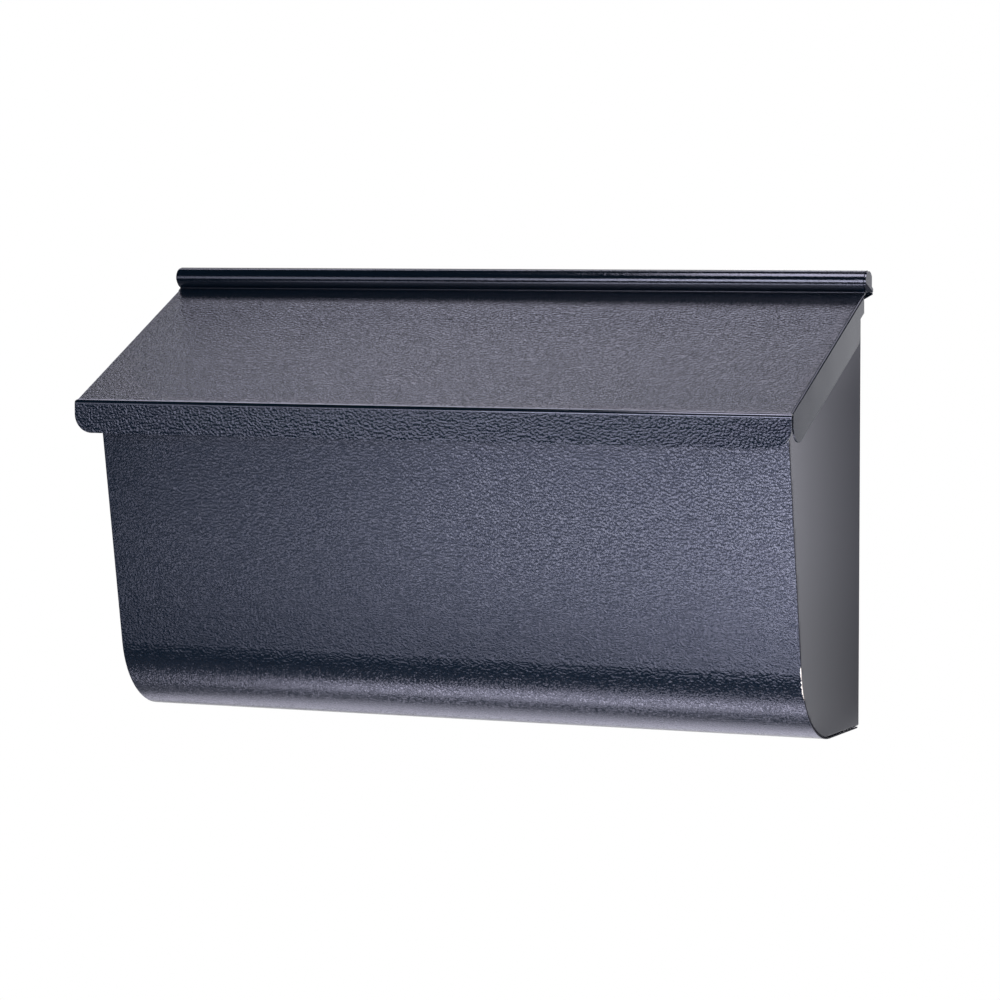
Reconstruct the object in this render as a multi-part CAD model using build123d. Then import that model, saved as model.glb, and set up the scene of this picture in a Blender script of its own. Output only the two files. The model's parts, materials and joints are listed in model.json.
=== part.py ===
from build123d import *
import math
import os

# A wall mounted mailbox, folded from painted steel sheet and spot welded.
#
# The finished part stands in a frame with X to the right, Y into the wall, Z up and its
# front towards -Y. The origin is the centre of the four screw holes, on the face that
# lies against the wall. Everything is drawn from the underside of the body first, as
# side sections in Y and height, and is lowered to that origin at the end.
# Lengths are millimetres and angles are degrees.

# ---- sheet metal ----
sheet = 0.8                     # thickness of every sheet, paint included
bend_inside = 0.8               # inside radius of an ordinary fold
seam_gap = 0.1                  # between two sheets that are welded together
relief = 4.0                    # radius of the notch where two flanges meet at a corner

# ---- front wrap: front, round bottom corner and bottom in one sheet ----
body_inset = 7.05               # cut edges of the wrap, inside the sides of the lid
front_gap = 16.8                # from the lid's front back to the wrap, under that flange
bottom_radius = 45.0            # outside radius of the round corner
front_lean = 9.6                # how far the front leans outwards as it rises
bottom_setback = 2.4            # rear edge of the bottom, in front of the wall
hem_depth = 8.0                 # folded rim inside the top of the front
hem_space = 1.0                 # air inside that fold
hem_bend = 0.45                 # inside radius of its two bends

# ---- end panels: shallow trays inside the wrap, open towards the wall ----
end_inset = 0.2                 # outer face of an end, inside the wrap's cut edge
end_flange = 10.0               # width of the tray's rim, measured from the outer face
end_bend = 0.2                  # inside radius of the bend round that rim
end_corner = 0.6                # corner radius of the outline at the rear bottom
end_drop = 11.4                 # level rear part of the top edge, below the hinge axis
lid_rest = 0.4                  # air between the closed lid and the edges under it

# ---- hinge: the lid's rear edge is rolled round a bead on the back panel ----
hinge_height = 232.4            # hinge axis above the underside
hinge_setback = 8.9             # hinge axis in front of the wall
roll_radius = 5.9               # outside radius of the lid's roll
roll_inset = 1.0                # end of the roll, inside the side of the lid's front
roll_tail = 29.0                # where the roll's rear edge ends, turning up from the wall
hinge_clearance = 0.2           # radial, between roll and bead
ear_gap = 0.3                   # end play between the roll and an ear of the back panel
ear_radius = 5.5                # round front edge of an ear
ear_low = 262.0                 # where that edge ends under the hinge axis
ear_back = 4.9                  # upright rear edge, behind the hinge axis
ear_tip_back = 6.9              # tip of the ear, behind the hinge axis
ear_tip_drop = 5.3              # and below it
ear_fold = 181.0                # front end of the line below which an ear slopes inwards
ear_slope = 10.0                # by this angle
bead_end = -56.0                # where the bead's inner edge ends
neck_rise = 7.0                 # slope of the back panel's neck under the bead

# ---- lid ----
lid_width = 401.2               # over the side flanges, at the front
lid_taper = 0.8                 # each side comes in by this much from the front to the roll
lid_slope = 26.4                # fall of the lid towards the front
lid_drop = 3.8                  # upper face of the lid below the hinge axis, square to it
lid_reach = 127.6               # from the wall to the face of the front flange
crease_inside = 0.3             # radius in the crease between lid and roll
front_fold_inside = 1.6         # inside radius of the fold at the front
front_flange_overhang = 0.2     # end of the front flange, outside the side of the lid
front_flange_drop = 16.8        # below the sharp corner of lid and front flange
front_flange_corner = 10.0      # radius of its two lower corners
front_fold_corner = 1.8         # slant that trims both ends of the fold above it
side_fold_inside = 0.4          # inside radius of the fold along each side
side_flange_depth = 18.7        # square to the lid
side_flange_gap = 3.3           # face of the front flange to a side flange's front edge
side_tip_rise = 2.8             # tip of a side flange above the front flange's lower edge
side_tip_radius = 9.0
side_tip_blend = 6.0
side_flange_back = 19.7         # rear edge of a side flange, in front of the wall
side_notch_depth = 6.0          # upper rear part stands this much further back
side_notch_height = 9.3         # and starts this far below the lid
side_notch_ramp = 3.0
side_edge_radius = 7.0

# ---- back panel and its screw holes ----
bottom_lip = 12.0               # flange that the bottom of the wrap is welded to
lip_clearance = 1.0             # sideways, between that flange and the end panels
back_flange = 8.0               # flanges that the end panels are welded to
back_flange_gap = 0.4           # between such a flange and the middle of the end's web
back_flange_start = 6.0         # lower ends of those flanges, above the underside
back_flange_end = 8.0           # upper ends, below the top edge of an end panel
shoulder_drop = 11.0            # the panel widens from here up, below the hinge axis
shoulder_rise = 4.3             # height over which it widens
hole_radius = 2.75
hole_spacing_x = 304.8
hole_spacing_z = 101.6
hole_height = 120.0             # centre of the hole pattern above the underside

# ---- worked out from the sizes above ----
bend_outside = bend_inside + sheet
end_bend_outside = end_bend + sheet
half_lid = lid_width / 2
half_body = half_lid - body_inset
half_roll = half_lid - roll_inset
half_flange = half_lid + front_flange_overhang
half_bead = half_roll + ear_gap
end_height = hinge_height - end_drop
shoulder_height = hinge_height - shoulder_drop
end_face = half_body - end_inset
flange_edge = end_face - end_flange
half_lip = flange_edge - lip_clearance
half_back = end_face - sheet - back_flange_gap
roll_inside = roll_radius - sheet
bead_radius = roll_inside - hinge_clearance
bead_inside = bead_radius - sheet
beyond = 2 * half_lid           # longer than the part, for cuts that run right through

section = Plane.YZ              # drawing plane of the side sections: Y to the right, Z up


def polar(length, angle):
    """Step of this length in the side section, with 0 towards the wall and 90 up."""
    turn = math.radians(angle)
    return Vector(length * math.cos(turn), length * math.sin(turn))


def crossing(start, along, other, other_along):
    """Point where a line from start and a line from other meet in the side section."""
    reach = (other - start).cross(other_along).Z / along.cross(other_along).Z
    return start + along * reach


hinge = Vector(-hinge_setback, hinge_height)
down_lid = polar(1, 180 + lid_slope)
off_lid = polar(1, 90 + lid_slope)
up_front = polar(1, 90 + front_lean)
off_front = polar(1, 180 + front_lean)
level = Vector(-1, 0)
upright = Vector(0, 1)

lid_top = hinge - off_lid * lid_drop
lid_rear = crossing(lid_top, down_lid, Vector(side_notch_depth - side_flange_back, 0), upright)
front_corner = crossing(lid_top, down_lid, Vector(-lid_reach, 0), upright)
lid_front = front_corner - down_lid * (front_fold_inside + sheet)
flange_low = front_corner.Y - front_flange_drop
rest_line = lid_top - off_lid * (sheet + lid_rest)
body_front = Vector(front_gap - lid_reach, flange_low)


def body_line(depth):
    """Front face moved inwards by depth: a point on it, and where it meets the bottom."""
    on_front = body_front - off_front * depth
    foot = crossing(on_front, up_front, Vector(0, depth), level)
    return on_front, foot


def folded(path):
    """Face of a sheet whose one side follows the path, with the sheet to its left."""
    return make_face(offset(path, sheet, side=Side.LEFT, kind=Kind.ARC))


def long_piece(face, half_width):
    """Solid of a side section that reaches this far to either side of the middle."""
    return extrude(section * face, half_width, both=True)


def block(x_range, y_range, z_range):
    """Box between two values on each axis."""
    size = [high - low for low, high in (x_range, y_range, z_range)]
    middle = [(high + low) / 2 for low, high in (x_range, y_range, z_range)]
    return Pos(*middle) * Box(*size)


def both_sides(solid):
    """The solid and its mirror image on the other side."""
    return solid + mirror(solid, about=Plane.YZ)


def rounded(face, corners):
    """Face with the named corners rounded, each given as a point and a radius."""
    for point, radius in corners:
        corner = face.vertices().sort_by_distance(point)[0]
        face = fillet(corner, radius)
    return face


def front_wrap():
    """Front, round corner and bottom in one sheet, with a hem folded back along the top."""
    on_front, foot = body_line(0)
    top = crossing(on_front, up_front, rest_line, down_lid)
    rear = Vector(-bottom_setback, 0)
    hem_outside = hem_bend + sheet
    hem_back = top - off_front * (2 * sheet + hem_space)
    hem_end = hem_back - up_front * hem_depth
    plain = FilletPolyline(top, foot, rear, radius=bottom_radius)
    radii = [hem_outside, hem_outside, bottom_radius]
    hemmed = FilletPolyline(hem_end, hem_back, top, foot, rear, radius=radii)
    return long_piece(folded(plain), half_body) + long_piece(folded(hemmed), half_lip)


def end_panel():
    """Right-hand end: a flat web with a rim folded inwards, open at the wall."""
    inner = sheet + seam_gap
    on_front, foot = body_line(inner)
    behind = Vector(end_flange, 0)
    rear_bottom = Vector(0, inner)
    rear_top = Vector(0, end_height)
    front_top = crossing(on_front, up_front, rest_line, down_lid)
    knee = crossing(rest_line, down_lid, rear_top, level)
    corners = [rear_bottom + behind, foot, front_top, knee, rear_top + behind]
    outline = make_face(Polyline(*corners, close=True))
    web = rounded(outline, [(foot, bottom_radius - inner)])
    hollow = offset(web, -sheet, kind=Kind.ARC)
    tray = Pos(flange_edge, 0, 0) * extrude(section * web, end_flange)
    tray = fillet(tray.faces().sort_by(Axis.X)[-1].edges(), end_bend_outside)
    inside = Pos(flange_edge, 0, 0) * extrude(section * hollow, end_flange - sheet)
    inside = fillet(inside.faces().sort_by(Axis.X)[-1].edges(), end_bend)
    tray -= inside
    for corner in (front_top, knee):
        notch = section * (Pos(*corner) * Circle(relief))
        tray -= Pos(flange_edge, 0, 0) * extrude(notch, end_flange - end_bend_outside)
    room = make_face(
        Polyline((0, inner), (0, beyond), (-beyond, beyond), (-beyond, inner), close=True)
    )
    in_front = rounded(room, [(rear_bottom, end_corner)])
    tray &= extrude(section * in_front, beyond, both=True)
    return tray - block((0, half_back), (-inner, beyond), (back_flange_start, beyond))


def back_sides():
    """Flange folded forwards along each side of the back panel, with its bend."""
    corners = [(half_back, -back_flange), (half_back, 0), (half_back - back_flange, 0)]
    bent = folded(FilletPolyline(*corners, radius=bend_outside))
    flange = extrude(bent, end_height - back_flange_end - back_flange_start)
    return both_sides(Pos(0, 0, back_flange_start) * flange)


def ear():
    """Plate over the right-hand end of the hinge, sloping inwards below a line to its tip."""
    top = math.degrees(math.acos(ear_back / ear_radius))
    tip = hinge + Vector(ear_tip_back, -ear_tip_drop)
    round_edge = CenterArc(hinge, ear_radius, top, ear_low - top)
    shape = Polyline(
        hinge + polar(ear_radius, ear_low),
        tip,
        tip + Vector(0, 2 * sheet),
        hinge + Vector(ear_back, -ear_back / 2),
        hinge + polar(ear_radius, top),
    )
    face = make_face([round_edge, *shape.edges()])
    plate = Pos(half_bead, 0, 0) * extrude(section * face, sheet)
    start = hinge + polar(ear_radius, ear_fold)
    line = (tip - start).normalized()
    below = Plane(
        origin=(half_bead + sheet, start.X, start.Y), x_dir=(1, 0, 0), z_dir=(0, line.X, line.Y)
    )
    depth = 2 * ear_radius
    cut_in = depth * math.tan(math.radians(ear_slope))
    wedge = make_face(Polyline((0, 0), (0, depth), (-cut_in, depth), close=True))
    return plate - extrude(below * wedge, 2 * depth, both=True)


def back_panel():
    """Panel on the wall, curled into the hinge's bead above and folded into a lip below."""
    lip_height = sheet + seam_gap
    neck_along = polar(1, 180 - neck_rise)
    neck_end = hinge + polar(bead_inside, 270 - neck_rise)
    neck_foot = crossing(neck_end, neck_along, Vector(0, 0), upright)
    lip_front = Vector(-bottom_lip, lip_height)
    lip_corner = Vector(0, lip_height)
    run = FilletPolyline(lip_front, lip_corner, neck_foot, neck_end, radius=bend_outside)
    start = 270 - neck_rise
    curl = CenterArc(hinge, bead_inside, start, bead_end - start)
    panel = long_piece(folded(run), half_bead) + long_piece(folded(curl), half_bead)
    around_lip = block((half_lip, beyond), (-beyond, beyond), (-beyond, back_flange_start))
    slope = Polyline(
        (half_back - bend_outside, shoulder_height),
        (half_back, shoulder_height),
        (half_bead, shoulder_height + shoulder_rise),
        (beyond, shoulder_height + shoulder_rise),
        (beyond, 0),
        (half_back - bend_outside, 0),
        close=True,
    )
    panel -= both_sides(around_lip)
    panel -= both_sides(extrude(Plane.XZ * make_face(slope), beyond, both=True))
    panel += back_sides()
    panel += both_sides(ear())
    hole = Cylinder(hole_radius, beyond, rotation=(90, 0, 0))
    for x in (-hole_spacing_x / 2, hole_spacing_x / 2):
        for z in (-hole_spacing_z / 2, hole_spacing_z / 2):
            panel -= Pos(x, 0, hole_height + z) * hole
    return panel


def lid_roll():
    """Roll round the bead, with the crease under it and the rear of the lid."""
    across = lid_drop - crease_inside
    reach = roll_radius + crease_inside
    turn = 270 + lid_slope - math.degrees(math.acos(across / reach))
    crease_centre = hinge + polar(reach, turn)
    roll = CenterArc(hinge, roll_radius, roll_tail, turn - roll_tail)
    crease = CenterArc(crease_centre, crease_inside, turn - 180, lid_slope + 90 - turn)
    path = Wire([roll, crease, Line(crease @ 1, lid_rear)])
    return long_piece(folded(path), half_roll)


def lid_nose():
    """Front fold and front flange, with two round lower corners."""
    flange_end = Vector(-lid_reach, flange_low)
    fold = FilletPolyline(lid_front, front_corner, flange_end, radius=front_fold_inside + sheet)
    nose = long_piece(folded(fold), half_flange)
    high = lid_front.Y + sheet
    narrow = half_flange - front_fold_corner
    side = [(half_flange, flange_low), (half_flange, high - front_fold_corner), (narrow, high)]
    other_side = [(-x, z) for x, z in reversed(side)]
    plate = make_face(Polyline(*side, *other_side, close=True))
    low_corners = [(Vector(x, flange_low), front_flange_corner) for x in (-half_flange, half_flange)]
    return nose & extrude(Plane.XZ * rounded(plate, low_corners), beyond, both=True)


def side_flange_outline():
    """Outline that trims the sloping top and its two side flanges, seen from the side."""
    above = off_lid * sheet
    below = off_lid * -sheet
    lower = lid_top - off_lid * side_flange_depth
    tip = Vector(-lid_reach + side_flange_gap, flange_low + side_tip_rise)
    tip_rear = crossing(lower, down_lid, tip, level)
    rear_low = crossing(lower, down_lid, Vector(-side_flange_back, 0), upright)
    rear_mid = crossing(lid_top, down_lid, rear_low, upright) - upright * side_notch_height
    rear_high = rear_mid + Vector(side_notch_depth, side_notch_ramp)
    points = [
        lid_rear + above,
        lid_front + above,
        lid_front + below,
        crossing(lid_top + below, down_lid, tip, upright),
        tip,
        tip_rear,
        rear_low,
        rear_mid,
        rear_high,
        crossing(lid_top + below, down_lid, rear_high, upright),
        lid_rear + below,
    ]
    outline = make_face(Polyline(*points, close=True))
    corners = [(tip, side_tip_radius), (tip_rear, side_tip_blend), (rear_low, side_edge_radius)]
    return rounded(outline, corners)


def lid_channel():
    """Sloping top with a side flange folded down along each edge, drawn in at the rear."""
    fall = Vector(0, down_lid.X, down_lid.Y)
    across = Plane(origin=(0, front_corner.X, front_corner.Y), x_dir=(1, 0, 0), z_dir=fall)
    skirt = side_flange_depth + sheet
    corners = [(half_lid, -skirt), (half_lid, 0), (half_lid / 2, 0)]
    side = folded(FilletPolyline(*corners, radius=side_fold_inside + sheet))
    along = fall * ((lid_rear - front_corner).length) + Vector(lid_taper, 0, 0)
    plate = Pos(0, -sheet / 2) * Rectangle(2 * half_body, sheet)
    sloping = extrude(across * plate, 2 * lid_reach, both=True)
    channel = sloping + both_sides(extrude(across * side, 2 * lid_reach, dir=along, both=True))
    return channel & long_piece(side_flange_outline(), half_flange)


def lid():
    """One sheet: the roll, the sloping top with its side flanges, and the front flange."""
    return lid_roll() + lid_nose() + lid_channel()


def place(solid):
    """Lower a piece so that the centre of the screw holes becomes the origin."""
    return Pos(0, 0, -hole_height) * solid


right_end = end_panel()
pieces = {
    "back_panel": back_panel(),
    "front_wrap": front_wrap(),
    "right_end_panel": right_end,
    "left_end_panel": mirror(right_end, about=Plane.YZ),
    "lid": lid(),
}

os.makedirs("parts", exist_ok=True)
for name, piece in pieces.items():
    export_step(place(piece), f"parts/{name}.step")
print("hinge axis at y", -hinge_setback, "z", hinge_height - hole_height)
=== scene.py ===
# %% [markdown]
# # A wall mounted mailbox in black grained sheet steel
#
# The mailbox is folded from five thin steel sheets. Their shapes, their sizes and the lid's
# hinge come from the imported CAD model, so this lesson is about light and finish: it sets up
# a camera and a small studio, and makes the paints with their grain, cut edges and wear.

# %% Load the CAD frame
import bisect
import json
import math

import bmesh
import bpy
from mathutils import Matrix, Vector


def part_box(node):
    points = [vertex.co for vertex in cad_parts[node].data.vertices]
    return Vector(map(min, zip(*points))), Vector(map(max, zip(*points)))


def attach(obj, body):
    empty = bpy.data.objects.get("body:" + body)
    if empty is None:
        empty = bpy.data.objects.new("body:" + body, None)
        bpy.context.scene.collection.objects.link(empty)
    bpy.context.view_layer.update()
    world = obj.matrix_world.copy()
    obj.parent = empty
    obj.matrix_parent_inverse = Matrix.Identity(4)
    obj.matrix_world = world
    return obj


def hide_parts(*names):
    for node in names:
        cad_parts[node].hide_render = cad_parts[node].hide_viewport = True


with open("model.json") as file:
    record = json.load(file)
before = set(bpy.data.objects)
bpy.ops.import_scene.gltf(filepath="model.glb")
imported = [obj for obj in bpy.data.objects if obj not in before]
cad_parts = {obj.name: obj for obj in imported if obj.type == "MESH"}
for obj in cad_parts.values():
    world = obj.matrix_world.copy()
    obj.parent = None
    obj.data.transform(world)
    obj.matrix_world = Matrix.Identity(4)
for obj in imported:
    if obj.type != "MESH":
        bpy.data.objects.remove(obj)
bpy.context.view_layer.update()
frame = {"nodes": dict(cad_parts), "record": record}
print("CAD nodes:", sorted(frame["nodes"]))

# %% Units, and one function for colours
MM = 0.001
SCENE = bpy.context.scene


def linear(hex_colour):
    """Turn an sRGB hex colour into the linear RGBA that shaders use."""
    channels = [int(hex_colour[i:i + 2], 16) / 255 for i in (1, 3, 5)]
    curve = [c / 12.92 if c <= 0.04045 else ((c + 0.055) / 1.055) ** 2.4 for c in channels]
    return (*curve, 1.0)


print("middle grey is", round(linear("#808080")[0], 3), "in linear light")


# %% One function that adds a node
def add(tree, kind, sockets=None, **settings):
    """Add a node, set its properties, and give its sockets a value or a link each."""
    new = tree.nodes.new(kind)
    for name, value in settings.items():
        setattr(new, name, value)
    for name, value in (sockets or {}).items():
        if isinstance(value, bpy.types.NodeSocket):
            tree.links.new(value, new.inputs[name])
        else:
            new.inputs[name].default_value = value
    return new


# %% [markdown]
# ## Camera
#
# A short lens close by would make the near corner look swollen. A long lens about two metres
# away keeps the long edges nearly parallel, as in a catalogue. The camera stands to the right
# of the mailbox and a little above it, so that one end panel and the sloping lid show.

# %% Place the camera
camera_data = bpy.data.cameras.new("camera")
camera_data.lens = 140.4
camera_data.sensor_width = 36
camera = bpy.data.objects.new("camera", camera_data)
SCENE.collection.objects.link(camera)
camera.location = (0.836, -1.926, 0.146)
camera.rotation_euler = (math.radians(85.85), math.radians(0.08), math.radians(23.73))
SCENE.camera = camera
print("camera stands", round(camera.location.length, 3), "m away")

# %% [markdown]
# ## Dark room and white paper
#
# Glossy black has almost no colour of its own: it shows what stands round it. So the room is
# nearly black, and the lamps alone decide where the paint looks light. The camera still sees
# plain white all round, from Light Path's Is Camera Ray, and that white costs no extra light
# on the paint. One sheet of paper does show in it: the backdrop far behind, whose right part
# the end panel mirrors at a low angle.

# %% Dark room that looks white to the camera
SCENE.view_settings.view_transform = "Standard"
world = bpy.data.worlds.new("studio")
SCENE.world = world
world.use_nodes = True
tree = world.node_tree
tree.nodes.clear()
path = add(tree, "ShaderNodeLightPath")
white = add(tree, "ShaderNodeBackground", {"Color": (1, 1, 1, 1), "Strength": 1.0})
room = add(tree, "ShaderNodeBackground", {"Color": linear("#c8ccd4"), "Strength": 0.02})
shown = {0: path.outputs["Is Camera Ray"], 1: room.outputs[0], 2: white.outputs[0]}
seen = add(tree, "ShaderNodeMixShader", shown)
add(tree, "ShaderNodeOutputWorld", {"Surface": seen.outputs[0]})
print("world nodes:", len(tree.nodes))


# %% An empty material
def new_material(name):
    """An empty node material, and its tree."""
    material = bpy.data.materials.new(name)
    material.use_nodes = True
    material.node_tree.nodes.clear()
    return material, material.node_tree


# %% One function for a sheet of paper
def paper(name, corners, glow):
    """Hang up paper that looks white to the camera, and to glossy rays too if it glows."""
    mesh = bpy.data.meshes.new(name)
    mesh.from_pydata(corners, [], [(0, 1, 2, 3)])
    plane = bpy.data.objects.new(name, mesh)
    SCENE.collection.objects.link(plane)
    material, tree = new_material(name)
    path = add(tree, "ShaderNodeLightPath")
    shows = path.outputs["Is Camera Ray"]
    if glow:
        both = {0: shows, 1: path.outputs["Is Glossy Ray"]}
        shows = add(tree, "ShaderNodeMath", both, operation="MAXIMUM").outputs[0]
    lit = add(tree, "ShaderNodeEmission", {"Color": (1, 1, 1, 1), "Strength": 1.0})
    matte = add(tree, "ShaderNodeBsdfDiffuse", {"Color": linear("#e8e8e8")})
    mix = add(tree, "ShaderNodeMixShader", {0: shows, 1: matte.outputs[0], 2: lit.outputs[0]})
    add(tree, "ShaderNodeOutputMaterial", {"Surface": mix.outputs[0]})
    mesh.materials.append(material)


# %% Backdrop and floor
BACKDROP_Y = 2.8        # far enough back that a camera behind the mailbox stands before it
BACKDROP_LEFT = -6
BACKDROP_RIGHT = 1.16   # the right end panel mirrors this edge and fades from light to dark
BACKDROP_LOW = -1.4
BACKDROP_HIGH = 2.5
FLOOR_Z = -1.5
FLOOR_REACH = 3

paper("backdrop", [(BACKDROP_LEFT, BACKDROP_Y, BACKDROP_LOW),
                   (BACKDROP_RIGHT, BACKDROP_Y, BACKDROP_LOW),
                   (BACKDROP_RIGHT, BACKDROP_Y, BACKDROP_HIGH),
                   (BACKDROP_LEFT, BACKDROP_Y, BACKDROP_HIGH)], glow=True)
paper("floor", [(-FLOOR_REACH, -FLOOR_REACH, FLOOR_Z), (FLOOR_REACH, -FLOOR_REACH, FLOOR_Z),
                (FLOOR_REACH, FLOOR_REACH, FLOOR_Z), (-FLOOR_REACH, FLOOR_REACH, FLOOR_Z)],
      glow=False)
print("backdrop is", BACKDROP_RIGHT - BACKDROP_LEFT, "m wide")

# %% [markdown]
# ## Soft boxes
#
# One big light would wash over everything and hide the folds. A product studio uses
# several soft boxes and leaves darkness between them: each box draws one soft band on the
# round corner and on the rolled hinge, and the gaps draw the dark lines that tell the eye
# where the sheet turns. Each call gives a box's direction and distance, its width and height,
# how bright its face is, and its colour. Boxes that mostly light what other viewpoints show
# come last.

# %% One function for a soft box
AIM = Vector((0, -0.06, 0))     # the middle of the mailbox, which every box faces
STEEP = 0.95                    # a direction with this share of up or down counts as upright
COOL = "#e8ebff"
SOFT = "#eeecff"


def soft_box(name, azimuth, elevation, distance, width, height, radiance, colour):
    """Hang up a lamp that faces the mailbox; azimuth 0 is in front, 90 on the right."""
    turned = math.radians(azimuth)
    raised = math.radians(elevation)
    level = math.cos(raised)
    away = Vector((math.sin(turned) * level, -math.cos(turned) * level, math.sin(raised)))
    # a box that hangs almost overhead or underneath has its height from front to back
    up = Vector((0, 0, 1)) if abs(away.z) < STEEP else Vector((0, 1, 0))
    across = (-away).cross(up).normalized()
    lamp = bpy.data.lights.new(name, "AREA")
    lamp.shape = "RECTANGLE"
    lamp.size = width
    lamp.size_y = height
    lamp.color = linear(colour)[:3]
    lamp.energy = radiance * math.pi * width * height
    holder = bpy.data.objects.new(name, lamp)
    SCENE.collection.objects.link(holder)
    turn = Matrix((across, away.cross(across), away)).transposed().to_4x4()
    holder.matrix_world = Matrix.Translation(AIM + away * distance) @ turn
    holder.visible_camera = False


# %% Boxes in front
# Three low boxes overlap more and more towards the right, so the front fades that way.
soft_box("front_low", 6, -23, 0.46, 0.96, 0.16, 2.7, COOL)
soft_box("front_mid", 14, -22.5, 0.47, 0.72, 0.15, 3.5, COOL)
soft_box("front_right", 30, -21, 0.50, 0.50, 0.13, 5.2, COOL)
# Two higher ones light the lid's front flange and draw the bright line on its roll.
soft_box("front_high", -10, 13, 1.30, 0.53, 0.42, 8.0, COOL)
soft_box("front_left", -20, 13, 1.30, 0.90, 0.42, 2.6, COOL)
print("soft boxes:", len(bpy.data.lights))

# %% Boxes above, below and behind
# The first draws the roll's upper line, the next two the bands on the round corner.
soft_box("top", -20, 75, 0.97, 0.28, 0.45, 10, SOFT)
soft_box("under", -47, -74, 1.20, 0.75, 0.33, 6.8, SOFT)
soft_box("back_low", -156, -49, 1.20, 0.90, 0.74, 1.5, SOFT)
# This one spreads an even grey over the lid.
soft_box("back_high", -158, 52, 2.00, 1.70, 0.35, 3.4, SOFT)
# These reach the right end panel, the lid's side flange and the fold above it.
soft_box("behind", 160, 6, 1.27, 0.55, 0.60, 0.28, COOL)
soft_box("behind_low", 163, -14, 1.27, 0.40, 0.40, 0.3, COOL)
soft_box("side_high", 139, 45, 1.50, 0.60, 0.60, 2.6, SOFT)
print("soft boxes:", len(bpy.data.lights))

# %% Boxes for the other viewpoints
soft_box("right", 92, 8, 1.60, 0.60, 1.10, 3.2, SOFT)
soft_box("left", -92, 8, 1.60, 0.60, 1.10, 3.2, SOFT)
soft_box("rear", 180, 5, 1.60, 0.90, 0.60, 2.0, SOFT)
soft_box("right_front", 62, 0, 1.60, 0.80, 1.50, 1.6, SOFT)
soft_box("left_front", -62, 0, 1.60, 0.80, 1.50, 0.8, SOFT)
soft_box("right_rear", 122, 0, 1.60, 0.80, 1.50, 1.6, SOFT)
soft_box("left_rear", -122, 0, 1.60, 0.80, 1.50, 1.6, SOFT)
print("soft boxes:", len(bpy.data.lights))

# %% [markdown]
# ## Grained black paint
#
# The back panel, the wrap and the lid are cut from sheet that was pressed between patterned
# rolls, which leave a grain like leather, and then folded and painted black. The grain could
# be modelled, but at about a millimetre apart its wrinkles would take millions of faces, so
# it is a bump. Plain noise looks like sand. Wrinkles have a direction and a steady width, so
# they start as straight bands of a wave texture, and noise bends them until they wander. The
# paint itself is glossy: each wrinkle carries its own small highlight, and that is why the
# grain shows best where the reflection of a soft box ends.


# %% Which way a face looks
def facing_sideways(tree, start, full):
    """0 where a face looks along the mailbox's front, 1 where it looks to either side."""
    coordinates = add(tree, "ShaderNodeTexCoord")
    axes = add(tree, "ShaderNodeSeparateXYZ", {0: coordinates.outputs["Normal"]})
    size = add(tree, "ShaderNodeMath", {0: axes.outputs["X"]}, operation="ABSOLUTE")
    limits = {"Value": size.outputs[0], "From Min": start, "From Max": full}
    return add(tree, "ShaderNodeMapRange", limits).outputs["Result"]


# %% Wrinkles
GRAIN_SPACING = 1.05    # mm between two bands along an axis, before noise bends them
BAND_PERIOD = 0.628     # along an axis, diagonal bands repeat after this at a scale of 1
GRAIN_STRETCH = 1.1     # wrinkles run this much longer along the mailbox than across
GRAIN_BEND = 12.0       # how far noise pushes the bands, enough to break them up


def wrinkles(tree):
    """Height of the grain, from 0 in the valleys to 1 on the ridges."""
    place = add(tree, "ShaderNodeTexCoord").outputs["Object"]
    drawn_out = add(tree, "ShaderNodeMapping", {
        "Vector": place, "Scale": (1 / GRAIN_STRETCH, 1, 1)}).outputs["Vector"]
    bands = add(tree, "ShaderNodeTexWave", {
        "Vector": drawn_out, "Scale": BAND_PERIOD / (GRAIN_SPACING * MM),
        "Distortion": GRAIN_BEND, "Detail": 0.3, "Detail Scale": 1.4},
        wave_type="BANDS", bands_direction="DIAGONAL")
    return bands.outputs["Fac"]


lid_low, lid_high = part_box("lid")
print("bands across the lid:", round((lid_high.x - lid_low.x) / (GRAIN_SPACING * MM)))

# %% Relief of the sheet
GRAIN_HEIGHT = 0.034    # mm from valley to ridge
WAVE_LENGTH = 45        # mm between the faint waves that rolling leaves in a thin sheet
WAVE_HEIGHT = 0.10      # mm


def grained_bump(tree, height, amount):
    """Bump of the wrinkles on top of the sheet's faint waves, scaled by amount."""
    place = add(tree, "ShaderNodeTexCoord").outputs["Object"]
    waves = add(tree, "ShaderNodeTexNoise", {
        "Vector": place, "Scale": 1000 / WAVE_LENGTH, "Detail": 1.0, "Roughness": 0.4})
    sheet = add(tree, "ShaderNodeBump", {
        "Strength": 1.0, "Distance": WAVE_HEIGHT * MM, "Height": waves.outputs[0]})
    return add(tree, "ShaderNodeBump", {
        "Strength": amount, "Distance": GRAIN_HEIGHT * MM, "Height": height,
        "Normal": sheet.outputs[0]}).outputs[0]


print("the grain is", GRAIN_HEIGHT, "mm high and the sheet's waves", WAVE_HEIGHT, "mm")

# %% [markdown]
# ## Tight bends
#
# Where the sheet is bent sharply, its outside is stretched and the grain is drawn smooth. On
# the lid that happens at the fold above the front flange and round the rolled hinge. Painting
# a mask by hand would work for one mesh only, so the mask comes from each point's place: its
# distance from the lid's front, and from the axis of the hinge.

# %% Mask of the tight bends
FOLD_REACH = 3.0        # mm from the lid's front back to the rear end of its fold
FOLD_TURN_FROM = 0.05   # a face that turns upwards this far begins to count as the fold,
FOLD_TURN_TO = 0.2      # and from here on it is part of it
ROLL_RADIUS = 6.0       # mm from the hinge axis to the outside of the roll
ROLL_FADE = 1.0         # mm over which the grain comes back beyond the roll
ROLL_SMOOTHNESS = 0.75  # share of the grain that rolling takes away
lid_front = lid_low.y
hinge = frame["record"]["behaviour"]["joints"][0]["pos_m"]


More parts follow.
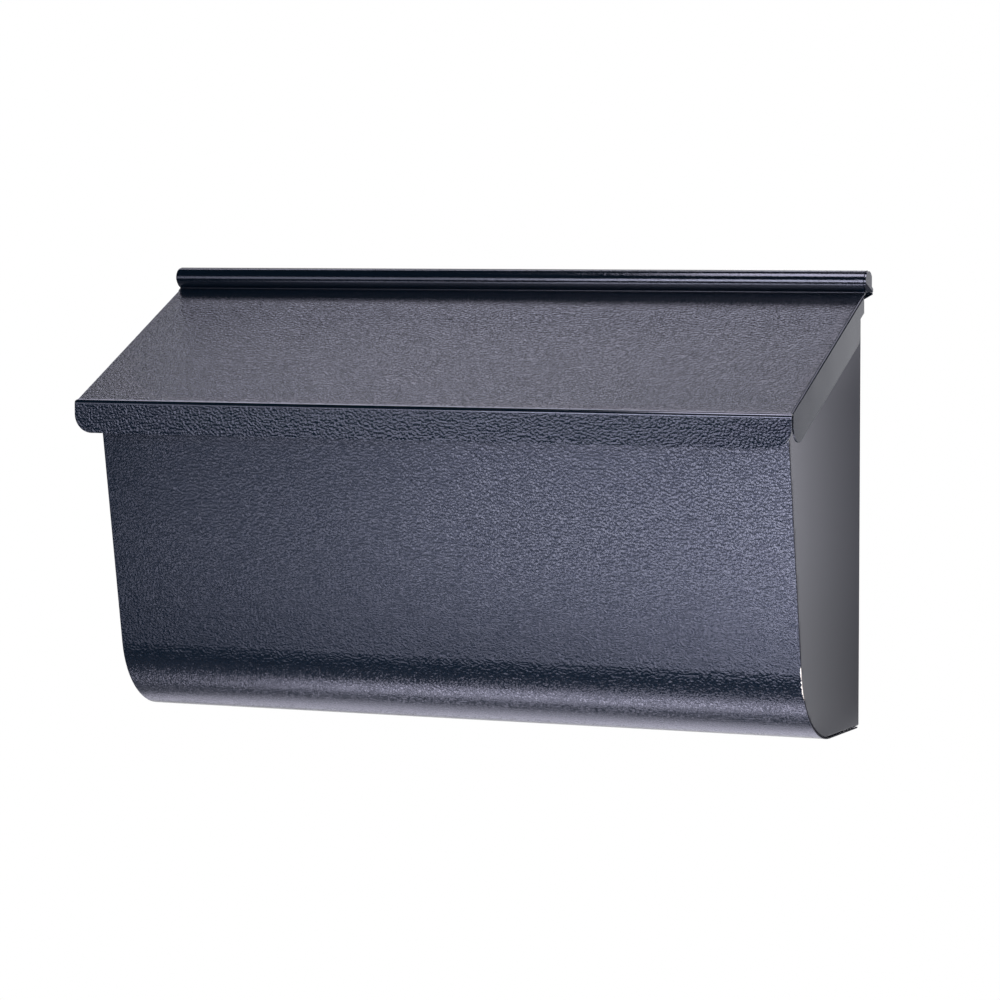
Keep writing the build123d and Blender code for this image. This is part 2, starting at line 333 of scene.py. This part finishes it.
def tight_bends(tree):
    """1 on the lid's front fold, most of 1 on the rolled hinge, 0 elsewhere."""
    coordinates = add(tree, "ShaderNodeTexCoord")
    at = add(tree, "ShaderNodeSeparateXYZ", {0: coordinates.outputs["Object"]})
    axes = add(tree, "ShaderNodeSeparateXYZ", {0: coordinates.outputs["Normal"]})
    forwards = add(tree, "ShaderNodeMapRange", {
        "Value": at.outputs["Y"], "From Min": lid_front + FOLD_REACH * MM,
        "From Max": lid_front + FOLD_REACH * MM / 2})
    upwards = add(tree, "ShaderNodeMapRange", {
        "Value": axes.outputs["Z"], "From Min": FOLD_TURN_FROM, "From Max": FOLD_TURN_TO})
    fold = add(tree, "ShaderNodeMath", {
        0: forwards.outputs["Result"], 1: upwards.outputs["Result"]}, operation="MULTIPLY")
    across = add(tree, "ShaderNodeVectorMath", {
        0: coordinates.outputs["Object"], 1: (0, 1, 1)}, operation="MULTIPLY")
    from_axis = add(tree, "ShaderNodeVectorMath", {
        0: across.outputs["Vector"], 1: (0, hinge[1], hinge[2])}, operation="DISTANCE")
    roll = add(tree, "ShaderNodeMapRange", {
        "Value": from_axis.outputs["Value"], "From Min": (ROLL_RADIUS + ROLL_FADE) * MM,
        "From Max": ROLL_RADIUS * MM, "To Max": ROLL_SMOOTHNESS})
    return add(tree, "ShaderNodeMath", {
        0: fold.outputs[0], 1: roll.outputs["Result"]}, operation="MAXIMUM").outputs[0]


print("the fold lies", round(-lid_front / MM, 1), "mm in front of the wall")

# %% Grained paint
PAINT_IOR = 1.6         # polyester paint
VALLEY_TINT = "#9b9baa"  # a valley is shaded by the ridges beside it and mirrors less
RIDGE_TINT = "#f6f5ff"
VALLEY_TOP = 0.25       # height of the grain up to which the valley's tint holds
RIDGE_FOOT = 0.8        # height from which the ridge's tint holds
PLAIN_FROM = 0.3        # a face turned this far sideways begins to lose its grain,
PLAIN_TO = 0.8          # and from here on it is plain: the lid's side flanges and all edges


def grained_paint(tree):
    """Glossy black paint whose grain fades on faces that look sideways and on tight bends."""
    plain = add(tree, "ShaderNodeMath", {
        0: facing_sideways(tree, PLAIN_FROM, PLAIN_TO), 1: tight_bends(tree)},
        operation="MAXIMUM").outputs[0]
    grain = add(tree, "ShaderNodeMath", {0: 1.0, 1: plain}, operation="SUBTRACT")
    height = wrinkles(tree)
    bump = grained_bump(tree, height, grain.outputs[0])
    shine = add(tree, "ShaderNodeMapRange", {
        "Value": height, "From Min": VALLEY_TOP, "From Max": RIDGE_FOOT})
    open_to_light = add(tree, "ShaderNodeMath", {
        0: shine.outputs["Result"], 1: plain}, operation="MAXIMUM")
    # this node has sockets of several kinds; 6, 7 and output 2 are the ones for colours
    tint = add(tree, "ShaderNodeMix", {
        "Factor": open_to_light.outputs[0], 6: linear(VALLEY_TINT), 7: linear(RIDGE_TINT)},
        data_type="RGBA")
    return add(tree, "ShaderNodeBsdfPrincipled", {
        "Base Color": linear("#061018"), "Roughness": 0.13, "IOR": PAINT_IOR,
        "Specular Tint": tint.outputs[2], "Normal": bump}).outputs[0]


grained, tree = new_material("grained_black_paint")
paint = grained_paint(tree)
add(tree, "ShaderNodeOutputMaterial", {"Surface": paint})
print(grained.name, "has", len(tree.nodes), "nodes")

# %% [markdown]
# ## Cut edges and a scuff on the wrap
#
# The wrap was sheared to width, and paint barely holds on a sheared edge: it stays matt and
# almost black there. That black is partly painted shade, for the shade in the narrow groove
# between the wrap and the end panel, and it draws a fine dark line down the corner. On the
# right the edge has been knocked where the round corner begins, down to bare steel. Separate
# strips of mesh could carry these finishes, but they would have to follow the sheet's curve
# exactly. Masks in one material do not: they come from the way a face looks and from its place.


# %% Paint and painted shade on a cut edge, and bare steel
def cut_edge_paint_and_shade(tree):
    """Thin matt paint on a sheared edge; its near black is partly painted shade of the groove.
    """
    return add(tree, "ShaderNodeBsdfPrincipled", {
        "Base Color": linear("#07090c"), "Roughness": 0.7, "IOR": PAINT_IOR,
        "Specular IOR Level": 0.25}).outputs[0]


def bare_steel(tree):
    """Scraped mild steel: grey, metallic, and dull from its fine scratches."""
    return add(tree, "ShaderNodeBsdfPrincipled", {
        "Base Color": linear("#f4ecdc"), "Metallic": 1.0, "Roughness": 0.55}).outputs[0]


# %% Mask of the scuff
wrap_low, wrap_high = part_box("front_wrap")
SCUFF_TOP = wrap_low.z + 42.5 * MM
SCUFF_BOTTOM = wrap_low.z + 23 * MM
SCUFF_REACH = 2.0       # mm from the edge inwards, over which the paint comes back
TEAR_SPACING = 1.6      # mm between two flakes of torn paint
TEAR_FROM = 0.52        # where the mask's sum reaches this the paint begins to give way,
TEAR_TO = 0.58          # and here it is gone


def scuff_mask(tree):
    """1 along a ragged strip of the wrap's right edge, 0 elsewhere."""
    place = add(tree, "ShaderNodeTexCoord").outputs["Object"]
    torn = add(tree, "ShaderNodeTexNoise", {
        "Vector": place, "Scale": 1000 / TEAR_SPACING, "Detail": 2.0, "Roughness": 0.7})
    at = add(tree, "ShaderNodeSeparateXYZ", {0: place})
    reach = add(tree, "ShaderNodeMapRange", {
        "Value": at.outputs["X"], "From Min": wrap_high.x - SCUFF_REACH * MM,
        "From Max": wrap_high.x, "To Min": -0.8, "To Max": 0.2})
    middle = (SCUFF_TOP + SCUFF_BOTTOM) / 2
    half = (SCUFF_TOP - SCUFF_BOTTOM) / 2
    off = add(tree, "ShaderNodeMath", {0: at.outputs["Z"], 1: middle}, operation="SUBTRACT")
    away = add(tree, "ShaderNodeMath", {0: off.outputs[0]}, operation="ABSOLUTE")
    along = add(tree, "ShaderNodeMapRange", {
        "Value": away.outputs[0], "From Min": 0.75 * half, "From Max": half,
        "To Min": 0.0, "To Max": -0.4})
    # noise stays round one half, so the sum reaches the limits only close to the edge
    ragged = add(tree, "ShaderNodeMath", {
        0: torn.outputs[0], 1: reach.outputs[0]}, operation="ADD")
    total = add(tree, "ShaderNodeMath", {
        0: ragged.outputs[0], 1: along.outputs[0]}, operation="ADD")
    return add(tree, "ShaderNodeMapRange", {
        "Value": total.outputs[0], "From Min": TEAR_FROM, "From Max": TEAR_TO}).outputs["Result"]


print("the scuff is", round((SCUFF_TOP - SCUFF_BOTTOM) / MM, 1), "mm long")

# %% Grained paint with cut edges and the scuff
EDGE_FROM = 0.75        # a face turned this far sideways begins to count as a cut edge,
EDGE_TO = 0.95          # and from here on it is one

wear_and_edge_shade, tree = new_material("grained_black_paint_with_cut_edges")
paint = grained_paint(tree)
# the cut edges take near black matt paint, partly painted shade of the groove beside each end
# panel
edged = add(tree, "ShaderNodeMixShader", {
    0: facing_sideways(tree, EDGE_FROM, EDGE_TO), 1: paint, 2: cut_edge_paint_and_shade(tree)})
scuffed = add(tree, "ShaderNodeMixShader", {
    0: scuff_mask(tree), 1: edged.outputs[0], 2: bare_steel(tree)})
add(tree, "ShaderNodeOutputMaterial", {"Surface": scuffed.outputs[0]})
print(wear_and_edge_shade.name, "has", len(tree.nodes), "nodes")

# %% [markdown]
# ## Smooth black paint
#
# The two end panels are painted in nearly the same colour but have no grain. Sprayed paint
# never dries perfectly flat. Leaving it flat would look like plastic, so a very shallow noise
# gives it a little orange peel.

# %% Smooth paint
PEEL_SPACING = 3.0      # mm between the bumps of the orange peel
PEEL_HEIGHT = 0.004     # mm

smooth, tree = new_material("smooth_black_paint")
place = add(tree, "ShaderNodeTexCoord").outputs["Object"]
peel = add(tree, "ShaderNodeTexNoise", {
    "Vector": place, "Scale": 1000 / PEEL_SPACING, "Detail": 1.0})
bump = add(tree, "ShaderNodeBump", {
    "Strength": 1.0, "Distance": PEEL_HEIGHT * MM, "Height": peel.outputs[0]})
paint = add(tree, "ShaderNodeBsdfPrincipled", {
    "Base Color": linear("#0a0d11"), "Roughness": 0.3, "IOR": 1.45,
    "Specular Tint": linear("#e1e1ff"), "Normal": bump.outputs[0]})
add(tree, "ShaderNodeOutputMaterial", {"Surface": paint.outputs[0]})
print(smooth.name, "has", len(tree.nodes), "nodes")

# %% [markdown]
# ## End panels
#
# Each end is a shallow pressed tray, and pressing leaves its flat web slightly dished. Flat, it
# would show one even tone; dished by little more than a millimetre, it fades from light at
# the front to dark at the wall. A bump could fake that in a render, but the shape would stay
# flat. So a copy of the CAD's plain tray is sliced into small cells, and each corner of a cell
# moves inwards by a curve that is zero along the front, the wall and the bottom.

# %% Slice a mesh into cells
CELL = 4.0              # mm between two slices
SNAP = 0.0001           # mm; a point this close to a slicing plane lies on it


def slices(low, high):
    """Places of the slices between two ends, one every cell."""
    return [low + step * CELL * MM for step in range(1, int((high - low) / (CELL * MM)))]


def slice_mesh(shape, axis, low, high):
    """Cut the whole mesh by planes square to an axis."""
    for place in slices(low, high):
        point = Vector((0, 0, 0))
        point[axis] = place
        normal = Vector((0, 0, 0))
        normal[axis] = 1
        parts = shape.verts[:] + shape.edges[:] + shape.faces[:]
        bmesh.ops.bisect_plane(shape, geom=parts, dist=SNAP * MM, plane_co=point,
                               plane_no=normal)


# %% How far forward a panel reaches
ON_SLICE = 0.01         # mm; a point whose height is this close to a slice's belongs to it


def front_line(shape, low, high):
    """The heights of the slices, and how far forward the panel reaches at each."""
    heights = slices(low.z, high.z)
    fronts = []
    for z in heights:
        on_slice = [v.co.y for v in shape.verts if abs(v.co.z - z) < ON_SLICE * MM]
        fronts.append(min(on_slice))
    return heights, fronts


def interpolated(value, inputs, outputs):
    """Read a curve given by points, straight between them."""
    place = bisect.bisect_left(inputs, value)
    if place == 0:
        return outputs[0]
    if place == len(inputs):
        return outputs[-1]
    share = (value - inputs[place - 1]) / (inputs[place] - inputs[place - 1])
    return outputs[place - 1] + share * (outputs[place] - outputs[place - 1])


# %% Dish an end panel
DISH_DEPTH = 1.4        # mm, where the panel is deepest
DISH_RISE = 12          # mm above the bottom over which the dish sets in
WELD = 0.001            # mm; points closer than this are joined before slicing
SHARP_ANGLE = 30        # degrees; edges bent more than this stay sharp


def press(shape, low, high):
    """Move the points of a sliced panel inwards, most in the middle of each level."""
    inwards = -math.copysign(1, high.x + low.x)
    levels, fronts = front_line(shape, low, high)
    deepest = -low.y / 2
    for v in shape.verts:
        front = interpolated(v.co.z, levels, fronts)
        half = -front / 2
        across = (v.co.y + half) / half
        depth = DISH_DEPTH * MM * (half / deepest) ** 2 * max(0, 1 - across ** 2)
        above = min(1, (v.co.z - low.z) / (DISH_RISE * MM))
        v.co.x += inwards * depth * above * above * (3 - 2 * above)


def dish(node_name):
    """Put a copy whose web is pressed inwards a little in the place of an end panel."""
    source = frame["nodes"][node_name]
    low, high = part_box(node_name)
    shape = bmesh.new()
    shape.from_mesh(source.data)
    bmesh.ops.remove_doubles(shape, verts=shape.verts[:], dist=WELD * MM)
    slice_mesh(shape, 1, low.y, high.y)
    slice_mesh(shape, 2, low.z, high.z)
    press(shape, low, high)
    mesh = bpy.data.meshes.new(node_name + "_dished")
    shape.to_mesh(mesh)
    shape.free()
    mesh.polygons.foreach_set("use_smooth", [True] * len(mesh.polygons))
    mesh.set_sharp_from_angle(angle=math.radians(SHARP_ANGLE))
    panel = bpy.data.objects.new(node_name + "_dished", mesh)
    SCENE.collection.objects.link(panel)
    mesh.materials.append(smooth)
    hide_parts(node_name)
    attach(panel, "box")
    print(panel.name, len(mesh.polygons), "faces")


for name in ("left_end_panel", "right_end_panel"):
    dish(name)

# %% [markdown]
# ## Paint the sheets
#
# The other three sheets keep the mesh of the CAD model, because its folds, hems and roll are
# already the real ones. They only need their paint: the wrap takes the one with cut edges.

# %% Paint the CAD's own sheets
for name, finish in (("back_panel", grained), ("lid", grained), ("front_wrap", wear_and_edge_shade),
                     ("left_end_panel", smooth), ("right_end_panel", smooth)):
    node = frame["nodes"][name]
    for slot in node.material_slots:
        slot.material = finish
    print(name, len(node.data.polygons), "faces in", finish.name)
